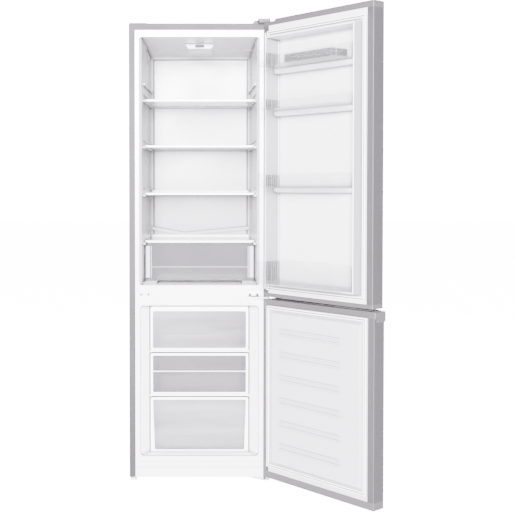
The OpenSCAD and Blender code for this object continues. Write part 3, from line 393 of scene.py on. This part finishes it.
def shadeWalls(node, turn, material, sides):
    # Walls that face one of the sides, seen with the piece shut, take a darker tone of the same plastic:
    # painted shade
    mesh = finished[node].data
    mesh.materials.append(materials[material])
    tone = len(mesh.materials) - 1
    for face in mesh.polygons:
        x, y, z = face.normal
        shut = (x * math.cos(turn) + y * math.sin(turn), y * math.cos(turn) - x * math.sin(turn), z)
        inFront = abs(face.center[1] - finishing["front"]) <= finishing["frontSkip"]
        if not inFront and any(Vector(shut).dot(side) > finishing["facing"] for side in sides):
            face.material_index = tone


for node in ("upper_freezer_drawer", "middle_freezer_drawer", "lower_freezer_drawer"):
    frostFront(node)


# Door seals: a hollow lip all round, with a groove along its middle

hingeLine = (0.2655, -0.2735)
doorAngles = {"upper_door": math.radians(130), "lower_door": math.radians(131)}


def openPoint(body, x, y, z):
    turn = doorAngles[body]
    dx, dy = x - hingeLine[0], y - hingeLine[1]
    return (hingeLine[0] + dx * math.cos(turn) - dy * math.sin(turn),
            hingeLine[1] + dx * math.sin(turn) + dy * math.cos(turn), z)


# The fridge's side walls and back wall take darker tones of the liner: painted shade
shadeWalls("fridge_liner", 0, "linerPaintedShade", ((1, 0, 0), (-1, 0, 0)))
shadeWalls("fridge_liner", 0, "backPaintedShade", ((0, -1, 0),))
# Walls of the upper door's liner that face its free side, seen shut, take a darker tone: painted shade
shadeWalls("upper_door_liner", doorAngles["upper_door"], "dykePaintedShade", ((-1, 0, 0),))

sealShape = {
    "back": -0.262,  # the liner's face with the door shut
    "outline": ((-1.5, 0), (-1.5, 2.2), (-0.3, 3.6), (0, 5.5), (0, 10.4), (-0.8, 11.5), (-3.2, 11.6),
                (-4.1, 10.9), (-4.5, 9), (-5, 6.4), (-7, 6.4), (-7.5, 9), (-7.9, 10.9), (-8.8, 11.6),
                (-11.2, 11.5), (-12, 10.4), (-12, 6.5), (-11.2, 4.6), (-9, 3.2), (-9, 0)),  # millimetres
    "frames": {  # left, right, bottom, top of the outer edge
        "upper_door_seal": ("upper_door", -0.247, 0.247, 0.766, 1.760),
        "lower_door_seal": ("lower_door", -0.247, 0.247, 0.080, 0.7045),
    },
}


def makeSeal(node, s):
    body, left, right, bottom, top = s["frames"][node]
    corners = ((left, bottom, 1, 1), (right, bottom, -1, 1), (right, top, -1, -1), (left, top, 1, -1))
    work = bmesh.new()
    rings = []
    for x, z, inX, inZ in corners:
        rings.append([
            work.verts.new(openPoint(body, x - inX * u / 1000, s["back"] + v / 1000, z - inZ * u / 1000))
            for u, v in s["outline"]])
    count = len(s["outline"])
    for i in range(4):
        here, there = rings[i], rings[(i + 1) % 4]
        for k in range(count):
            work.faces.new((here[k], here[(k + 1) % count], there[(k + 1) % count], there[k]))
    bmesh.ops.recalc_face_normals(work, faces=work.faces)
    markSharp(work)
    mesh = bpy.data.meshes.new(node)
    work.to_mesh(mesh)
    work.free()
    stand(linkObject(node + "_finish", mesh), node, "sealWhite")


for node in sealShape["frames"]:
    makeSeal(node, sealShape)
print("seals made")


# Geometry nodes: one shape set on many points, with a turn and a size for each

def makeSetter(name, shape, material):
    group = bpy.data.node_groups.new(name, "GeometryNodeTree")
    group.interface.new_socket("Points", in_out="INPUT", socket_type="NodeSocketGeometry")
    size = group.interface.new_socket("Size", in_out="INPUT", socket_type="NodeSocketFloat")
    group.interface.new_socket("Pieces", in_out="OUTPUT", socket_type="NodeSocketGeometry")
    nodes, links = group.nodes, group.links
    start, end = nodes.new("NodeGroupInput"), nodes.new("NodeGroupOutput")
    source = nodes.new("GeometryNodeObjectInfo")
    source.inputs["Object"].default_value = shape
    turn = nodes.new("GeometryNodeInputNamedAttribute")
    turn.data_type = "FLOAT_VECTOR"
    turn.inputs["Name"].default_value = "turn"
    place = nodes.new("GeometryNodeInstanceOnPoints")
    real = nodes.new("GeometryNodeRealizeInstances")
    paint = nodes.new("GeometryNodeSetMaterial")
    paint.inputs["Material"].default_value = materials[material]
    links.new(start.outputs["Points"], place.inputs["Points"])
    links.new(source.outputs["Geometry"], place.inputs["Instance"])
    links.new(turn.outputs["Attribute"], place.inputs["Rotation"])
    links.new(start.outputs["Size"], place.inputs["Scale"])
    links.new(place.outputs["Instances"], real.inputs["Geometry"])
    links.new(real.outputs["Geometry"], paint.inputs["Geometry"])
    links.new(paint.outputs["Geometry"], end.inputs["Pieces"])
    return group, size.identifier


def setOut(name, shape, places, material, size=1.0):
    mesh = bpy.data.meshes.new(name)
    mesh.from_pydata([p for p, turn in places], [], [])
    turns = mesh.attributes.new("turn", "FLOAT_VECTOR", "POINT")
    for i, (p, turn) in enumerate(places):
        turns.data[i].vector = turn
    thing = linkObject(name, mesh)
    group, sizeKey = makeSetter(name + "_set", shape, material)
    modifier = thing.modifiers.new("set", "NODES")
    modifier.node_group = group
    modifier[sizeKey] = size
    applyModifiers(thing)
    bpy.data.objects.remove(shape)
    return thing


# Hinge screws with cross recesses

screws = {
    "head": 0.005, "height": 0.0026, "shank": 0.0022, "length": 0.012, "arm": 0.0028, "slot": 0.00055,
    "recess": 0.0013, "sides": 24,
    "top": ((0.221, -0.234), (0.221, -0.2), (0.255, -0.2)), "topHeight": 1.803,
    "middle": (0.198, 0.227), "middleHeight": 0.74225,
    "bottom": (-0.232, -0.196), "bottomAcross": 0.213, "bottomHeight": 0.019,
}


def onCircle(radius, angle):
    return radius * math.cos(angle), radius * math.sin(angle)


def crossOutline(s):
    # The recess seen from above, one point for each side of the screw, so that both join up one to one
    quarter, points = s["sides"] // 4, []
    for i in range(s["sides"]):
        step = i % quarter
        if step in (1, quarter - 1):
            main = round(i / quarter) * math.tau / 4
            reach, side = s["arm"] * 0.86, s["slot"] * (1 if step == 1 else -1)
            points.append((reach * math.cos(main) - side * math.sin(main),
                           reach * math.sin(main) + side * math.cos(main)))
        else:
            reach = s["arm"] * 0.92 if step == 0 else s["slot"] * 1.7
            points.append(onCircle(reach, math.tau * i / s["sides"]))
    return points


def makeScrew(s):
    work = bmesh.new()
    sides = range(s["sides"])
    after = [(i + 1) % s["sides"] for i in sides]
    outline = ((s["shank"] * 0.3, -s["length"]), (s["shank"], -s["length"] + 0.003), (s["shank"], 0),
               (s["head"], 0), (s["head"], s["height"] * 0.45), (s["head"] * 0.86, s["height"] * 0.85),
               (s["arm"], s["height"]))
    rings = [[work.verts.new((*onCircle(radius, math.tau * i / s["sides"]), z)) for i in sides]
             for radius, z in outline]
    for low, high in zip(rings, rings[1:]):
        for i in sides:
            work.faces.new((low[i], low[after[i]], high[after[i]], high[i]))
    work.faces.new(rings[0][::-1])
    cross = crossOutline(s)
    edge = [work.verts.new((x, y, s["height"])) for x, y in cross]
    floor = [work.verts.new((x * 0.7, y * 0.7, s["height"] - s["recess"])) for x, y in cross]
    top = rings[-1]
    for i in sides:
        work.faces.new((top[i], top[after[i]], edge[after[i]], edge[i]))
        work.faces.new((edge[i], edge[after[i]], floor[after[i]], floor[i]))
    work.faces.new(floor)
    bmesh.ops.recalc_face_normals(work, faces=work.faces)
    markSharp(work)
    mesh = bpy.data.meshes.new("screw")
    work.to_mesh(mesh)
    work.free()
    return linkObject("screw", mesh)


def screwSpots(s):
    # Three point up, two forwards and two down, each turned a little further than the one before
    spots = [((x, y, s["topHeight"]), (0, 0, 0.4 * i)) for i, (x, y) in enumerate(s["top"])]
    spots += [((x, finishing["front"], s["middleHeight"]), (math.pi / 2, 0.3 + 0.5 * i, 0))
              for i, x in enumerate(s["middle"])]
    spots += [((s["bottomAcross"], y, s["bottomHeight"]), (math.pi, 0, 0.7 * i))
              for i, y in enumerate(s["bottom"])]
    return spots


hingeScrews = setOut("hinge_screws_finish", makeScrew(screws), screwSpots(screws), "screwZinc")
stand(hingeScrews, "hinge_screws", "screwZinc")
print("screws made")


# Ribs that stiffen the ends of the door bins, coloured near-black as painted shade

binRibs = {
    "bins": {"top_door_bin": 62, "middle_door_bin": 47, "lower_door_bin": 52, "bottle_bin": 84},
    "end": 0.2028, "from": -0.274, "pitch": 0.0112, "count": 7, "width": 0.0044, "proud": 0.0009,
}


def makeRib(proud, width, height):
    bpy.ops.mesh.primitive_cube_add(size=1)
    rib = bpy.context.object
    for corner in rib.data.vertices:
        corner.co = (corner.co[0] * proud, corner.co[1] * width, corner.co[2] * height)
    return rib


def makeBinRibs(node, height, s):
    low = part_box(node)[0][2]
    places = []
    for i in range(s["count"]):
        point = openPoint("upper_door", s["end"], s["from"] + i * s["pitch"], low + height / 2000)
        places.append((point, (0, 0, doorAngles["upper_door"])))
    rib = makeRib(s["proud"] * 2, s["width"], (height - 8) / 1000)
    ribs = setOut(node + "_ribs", rib, places, "binRibPaintedShade")
    attach(ribs, node)


for node, height in binRibs["bins"].items():
    makeBinRibs(node, height, binRibs)
print("bin ribs made")


# Embossed lines across the crisper's front

crisperLines = {"front": -0.1382, "heights": (0.8415,), "across": 0.392, "middle": 0.862,
                "posts": ((0.2085, 0.015), (0.1955, 0.0022)), "tall": 0.126}
places = [((0, crisperLines["front"], z), (0, 0, 0)) for z in crisperLines["heights"]]
lines = setOut("crisper_lines", makeRib(crisperLines["across"], 0.0008, 0.0014), places, "crisperEdge")
attach(lines, "crisper_drawer")
for i, (x, wide) in enumerate(crisperLines["posts"]):
    places = [((side * x, crisperLines["front"], crisperLines["middle"]), (0, 0, 0)) for side in (-1, 1)]
    posts = setOut("crisper_posts_%d" % i, makeRib(wide, 0.0008, crisperLines["tall"]), places, "crisperEdge")
    attach(posts, "crisper_drawer")
print("crisper lines made")


# Fine lines and edges: painted shade round the freezer's mouth and along the gutter, a white lip and a grey
# edge on the doors, and painted shadow in the gap between the doors and under the hinge's arm

def makeTubeLine(name, node, points, radius, material, closed=False):
    curve = bpy.data.curves.new(name, "CURVE")
    curve.dimensions = "3D"
    curve.bevel_depth = radius
    curve.bevel_resolution = 2
    spline = curve.splines.new("POLY")
    spline.points.add(len(points) - 1)
    spline.use_cyclic_u = closed
    for spot, point in zip(spline.points, points):
        spot.co = (*point, 1)
    shape = linkObject(name + "_path", curve)
    graph = bpy.context.evaluated_depsgraph_get()
    mesh = bpy.data.meshes.new_from_object(shape.evaluated_get(graph))
    bpy.data.objects.remove(shape)
    mesh.materials.clear()
    mesh.materials.append(materials[material])
    attach(linkObject(name, mesh), node)


# Dark grey tubes round the freezer's mouth and along the gutter: painted shade
mouthShadeLine = {"half": 0.2325, "low": 0.1048, "high": 0.6995, "cut": 0.012, "front": -0.2478, "radius": 0.0025}
gutterShadeLine = {"half": 0.209, "dip": -0.07, "low": 0.9665, "rise": 0.027, "back": 0.1798, "radius": 0.0024}
# A near-black tube under the hinge's arm: painted shadow
hingeArmShadow = {"ends": ((0.194, -0.2516, 0.7345), (0.2335, -0.2516, 0.7345)), "radius": 0.0026}
doorLines = {  # ends as they lie with the door shut
    "upper_door_lip": {"node": "upper_door_liner", "material": "linerWhite", "radius": 0.003,
                       "ends": ((0.2665, -0.2622, 0.768), (0.2665, -0.2622, 1.757))},
    "lower_door_edge": {"node": "lower_door_skin", "material": "capGrey", "radius": 0.004,
                        "ends": ((0.2645, -0.2622, 0.062), (0.2645, -0.2622, 0.718))},
    # A near-black tube in the gap between the doors: painted shadow
    "door_gap_strip": {"node": "lower_door_top_cap", "material": "shadowBlack", "radius": 0.0034,
                       "ends": ((-0.262, -0.3115, 0.7278), (0.258, -0.3115, 0.7278))},
}


def mouthPoints(s):
    # A rectangle with cut corners, counter-clockwise from the lower left
    half, cut, points = s["half"], s["cut"], []
    for x, z, inX, inZ in ((-1, "low", 1, 1), (1, "low", -1, 1), (1, "high", -1, -1), (-1, "high", 1, -1)):
        across = (x * half + inX * cut, s["front"], s[z])
        up = (x * half, s["front"], s[z] + inZ * cut)
        points += [up, across] if x * inZ < 0 else [across, up]
    return points


def gutterPoints(s):
    high = s["low"] + s["rise"]
    return [(-s["half"], s["back"], high), (s["dip"], s["back"], s["low"]), (s["half"], s["back"], high)]


makeTubeLine("freezer_mouth_seam", "freezer_liner", mouthPoints(mouthShadeLine), mouthShadeLine["radius"], "paintedShadeGrey", True)
makeTubeLine("gutter_seam", "fridge_liner", gutterPoints(gutterShadeLine), gutterShadeLine["radius"], "paintedShadeGrey")
for name, s in doorLines.items():
    points = [openPoint(nodeBody[s["node"]], *end) for end in s["ends"]]
    makeTubeLine(name, s["node"], points, s["radius"], s["material"])
makeTubeLine("hinge_arm_seam", "middle_hinge", hingeArmShadow["ends"], hingeArmShadow["radius"], "shadowBlack")
print("seams made")

for node, thing in frame["nodes"].items():
    if node not in softEdges and node not in sealShape["frames"] and node != "hinge_screws":
        thing.data.materials.clear()
        thing.data.materials.append(materials[slotMaterial[nodeSlot[node]]])


# Floor and light

studio = {
    "floor": (0.75, 0.75, 0.75),
    "glow": 15.0,  # what only the camera sees of the floor's own light
    "sky": 0.22,
    "backdrop": 18.0,  # what only the camera sees of the sky
    "tint": (1.0, 0.93, 1.0),
    "lights": (  # name, place, aim, size, watts
        ("keyLight", (-0.4, -7.9, 2.5), (0.0, 0.0, 0.9), 2.4, 7000),
        ("rearLight", (1.5, 4.5, 3.0), (0.0, 0.0, 0.9), 2.5, 120),
    ),
}


def makeStudio(s):
    bpy.ops.mesh.primitive_plane_add(size=60, location=(0, 0, 0))
    floor = bpy.context.object
    floor.name = "floor"
    material, nodes, links, shader, place = startMaterial("floorPale")
    grain = addNoise(nodes, links, place, 2.0)
    colour = addColours(nodes, links, grain, [c * 0.99 for c in s["floor"]], s["floor"])
    links.new(colour, shader.inputs["Base Color"])
    shader.inputs["Roughness"].default_value = 0.8
    shader.inputs["Emission Color"].default_value = (1, 1, 1, 1)
    seen, glow = nodes.new("ShaderNodeLightPath"), nodes.new("ShaderNodeMath")
    glow.operation = "MULTIPLY"
    glow.inputs[1].default_value = s["glow"]
    links.new(seen.outputs["Is Camera Ray"], glow.inputs[0])
    links.new(glow.outputs[0], shader.inputs["Emission Strength"])
    floor.data.materials.append(material)
    world = bpy.data.worlds.new("studio")
    world.use_nodes = True
    nodes, links = world.node_tree.nodes, world.node_tree.links
    sky = nodes["Background"]
    sky.inputs["Color"].default_value = (1, 1, 1, 1)
    sky.inputs["Strength"].default_value = s["sky"]
    seen = nodes.new("ShaderNodeBackground")
    seen.inputs["Strength"].default_value = s["backdrop"]
    path, mix = nodes.new("ShaderNodeLightPath"), nodes.new("ShaderNodeMixShader")
    links.new(path.outputs["Is Camera Ray"], mix.inputs[0])
    links.new(sky.outputs[0], mix.inputs[1])
    links.new(seen.outputs[0], mix.inputs[2])
    links.new(mix.outputs[0], nodes["World Output"].inputs["Surface"])
    seen.inputs["Color"].default_value = (1, 1, 1, 1)
    bpy.context.scene.world = world
    for name, place, aim, size, watts in s["lights"]:
        data = bpy.data.lights.new(name, "AREA")
        data.energy = watts
        data.color = s["tint"]
        data.size = size
        light = bpy.data.objects.new(name, data)
        light.location = place
        light.rotation_euler = (Vector(aim) - Vector(place)).to_track_quat("-Z", "Y").to_euler()
        bpy.context.scene.collection.objects.link(light)


makeStudio(studio)
print("studio made")
